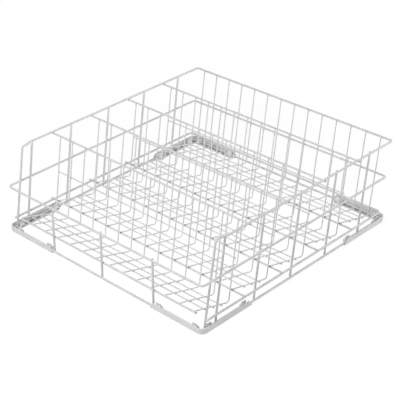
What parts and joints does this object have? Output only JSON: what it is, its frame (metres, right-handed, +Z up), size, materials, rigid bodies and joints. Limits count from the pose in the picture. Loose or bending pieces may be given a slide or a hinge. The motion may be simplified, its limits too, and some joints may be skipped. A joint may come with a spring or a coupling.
{
  "type": "dishwasher basket",
  "caption": "Square coated-wire glass basket for a rack dishwasher, with tilted rows between leaning dividers, a low open front and plastic corner guards.",
  "frame": {"origin": "middle of the box around the basket, on the surface it stands on", "axes": "+X to the right along the open front, +Y to the high back wall, +Z up"},
  "size_m": [0.5, 0.5126, 0.1647],
  "materials": {
    "coated_wire": "satin plastic coating on steel wire",
    "guard_plastic": "fine matte moulded plastic"
  },
  "bodies": {
    "root": {"bottom_ring": "coated_wire", "corner_guard_back_left": "guard_plastic", "corner_guard_back_right": "guard_plastic", "corner_guard_front_left": "guard_plastic", "corner_guard_front_right": "guard_plastic", "cross_rail_2": "coated_wire", "cross_rail_3": "coated_wire", "cross_rail_4": "coated_wire", "cross_rail_5": "coated_wire", "divider_middle_wire_1": "coated_wire", "divider_middle_wire_2": "coated_wire", "divider_middle_wire_3": "coated_wire", "divider_middle_wire_4": "coated_wire", "divider_top_wire_1": "coated_wire", "divider_top_wire_2": "coated_wire", "divider_top_wire_3": "coated_wire", "divider_top_wire_4": "coated_wire", "front_floor_rail": "coated_wire", "front_post_left": "coated_wire", "front_post_middle": "coated_wire", "front_post_right": "coated_wire", "left_post_1": "coated_wire", "left_post_2": "coated_wire", "left_post_3": "coated_wire", "left_post_4": "coated_wire", "left_post_5": "coated_wire", "lower_rail": "coated_wire", "middle_ring": "coated_wire", "right_post_1": "coated_wire", "right_post_2": "coated_wire", "right_post_3": "coated_wire", "right_post_4": "coated_wire", "right_post_5": "coated_wire", "row_cross_wires_1": "coated_wire", "row_cross_wires_2": "coated_wire", "row_cross_wires_3": "coated_wire", "row_cross_wires_4": "coated_wire", "row_cross_wires_5": "coated_wire", "row_wires_1": "coated_wire", "row_wires_2": "coated_wire", "row_wires_3": "coated_wire", "row_wires_4": "coated_wire", "row_wires_5": "coated_wire", "top_rail": "coated_wire"}
  },
  "joints": []
}
